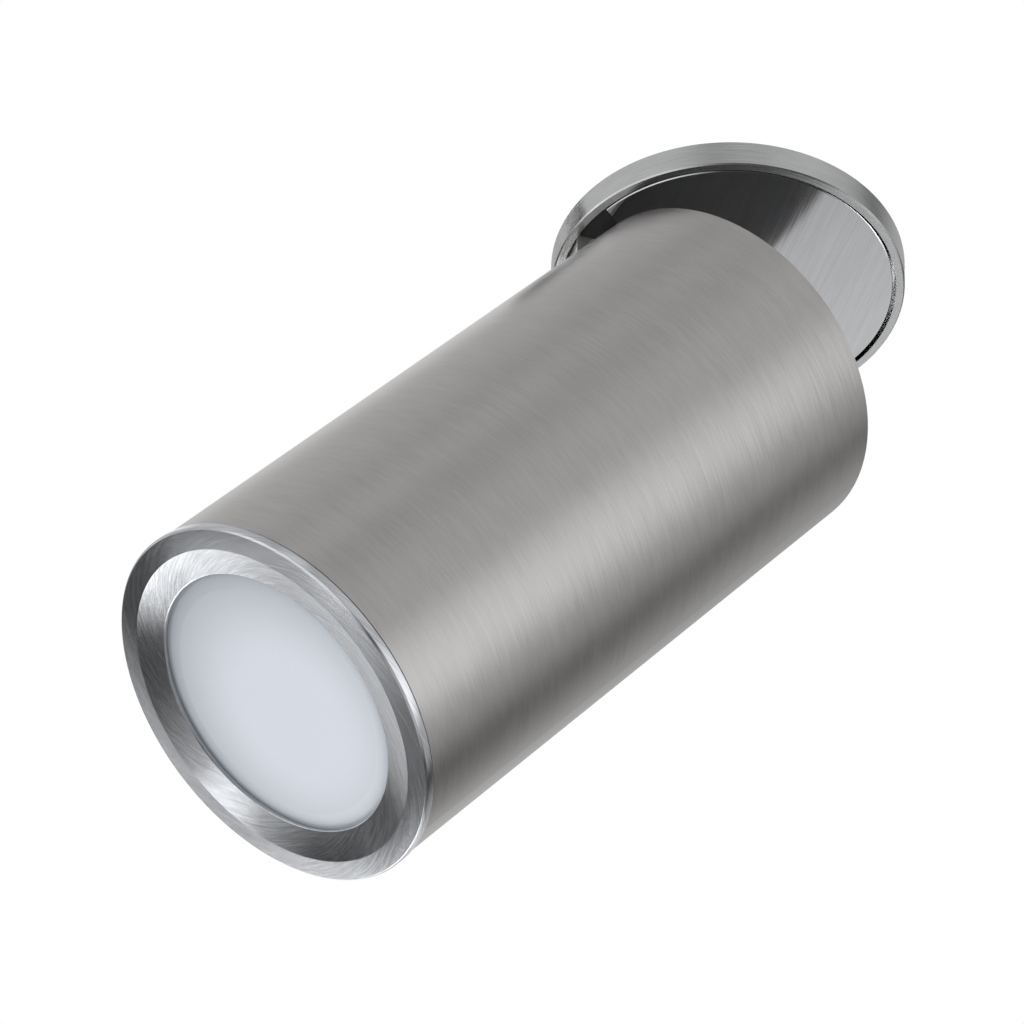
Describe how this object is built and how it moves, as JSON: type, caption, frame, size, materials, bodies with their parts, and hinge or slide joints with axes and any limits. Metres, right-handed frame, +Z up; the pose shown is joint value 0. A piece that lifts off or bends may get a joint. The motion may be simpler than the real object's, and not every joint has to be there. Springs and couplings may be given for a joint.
{
  "type": "recessed ceiling spotlight",
  "caption": "Recessed ceiling spotlight: a cylindrical lamp head on an offset hinge under a swivelling disc in a slim trim ring, held in its cut-out by sprung clips.",
  "frame": {"origin": "centre of the round ceiling cut-out, in the plane of the trim ring's ceiling-side face", "axes": "+Z up into the ceiling, along the cut-out's axis; the lamp head is tilted towards -X"},
  "size_m": [0.1843, 0.0786, 0.2078],
  "materials": {
    "brushed_ring": "circular satin brushing on the side band, fine turned face",
    "brushed_disc": "straight satin brushing",
    "brushed_tube": "warm grey satin, brushed round the tube",
    "brushed_bezel": "fine random brushing with a bright chamfer",
    "frosted_lens": "frosted opal",
    "black_carrier": "matt black",
    "hinge_steel": "plain satin",
    "black_cap": "satin black on die-cast metal",
    "zinc_sheet": "zinc-plated sheet",
    "clip_steel": "spring steel strip",
    "spring_steel": "drawn wire",
    "steel_pin": "ground pin",
    "screw_steel": "nickel-plated",
    "rivet_aluminium": "plain",
    "sink_aluminium": "die-cast",
    "black_rubber": "matt",
    "nylon": "matt",
    "terminal_plastic": "matt",
    "terminal_brass": "plain",
    "driver_plastic": "matt",
    "board_white": "white solder mask",
    "phosphor": "matt",
    "reflector_white": "satin white"
  },
  "bodies": {
    "ceiling_mount": {"trim_ring": "brushed_ring", "slip_washer": "nylon", "spring_washer": "spring_steel", "stop_pin": "steel_pin", "mounting_can": "zinc_sheet", "can_screws": "screw_steel", "cable_grommet": "black_rubber", "terminal_block": "terminal_plastic", "terminal_screws": "terminal_brass", "block_screw": "screw_steel", "clip_bracket_left": "zinc_sheet", "clip_bracket_right": "zinc_sheet", "bracket_rivets": "rivet_aluminium", "clip_pin_left": "steel_pin", "clip_pin_right": "steel_pin", "clip_spring_left": "spring_steel", "clip_spring_right": "spring_steel"},
    "clip_left": {"clip_arm_left": "clip_steel", "clip_pad_left": "black_rubber"},
    "clip_right": {"clip_arm_right": "clip_steel", "clip_pad_right": "black_rubber"},
    "swivel": {"swivel_disc": "brushed_disc", "swivel_carrier": "black_carrier", "hinge_arm": "hinge_steel", "arm_screws": "screw_steel", "retaining_ring": "zinc_sheet", "retainer_screws": "screw_steel"},
    "lamp_head": {"tube": "brushed_tube", "rear_cap": "black_cap", "cap_screws": "screw_steel", "wire_bush": "black_rubber", "hinge_pin": "steel_pin", "friction_washers": "nylon", "driver_case": "driver_plastic", "driver_screws": "screw_steel", "heat_sink": "sink_aluminium", "sink_screws": "screw_steel", "led_board": "board_white", "board_screws": "screw_steel", "led_emitter": "phosphor", "reflector": "reflector_white", "lens_seal": "black_rubber", "diffuser": "frosted_lens", "bezel": "brushed_bezel"}
  },
  "joints": [
    {"name": "swivel_turn", "type": "hinge", "parent": "ceiling_mount", "child": "swivel", "pos_m": [0, 0, 0], "axis": [0, 0, 1], "range_deg": [-175, 175]},
    {"name": "head_tilt", "type": "hinge", "parent": "swivel", "child": "lamp_head", "pos_m": [-0.03495, 0, -0.0165], "axis": [0, 1, 0], "range_deg": [-38.75, 51.25]},
    {"name": "clip_right_fold", "type": "hinge", "parent": "ceiling_mount", "child": "clip_right", "pos_m": [0.03035, 0, 0.018], "axis": [0, -1, 0], "range_deg": [0, 118], "stiffness_Nm_per_rad": 0.04, "springref_deg": -45.84, "deforming": ["clip_spring_right"]},
    {"name": "clip_left_fold", "type": "hinge", "parent": "ceiling_mount", "child": "clip_left", "pos_m": [-0.03035, 0, 0.018], "axis": [0, 1, 0], "range_deg": [0, 118], "stiffness_Nm_per_rad": 0.04, "springref_deg": -45.84, "deforming": ["clip_spring_left"]}
  ]
}
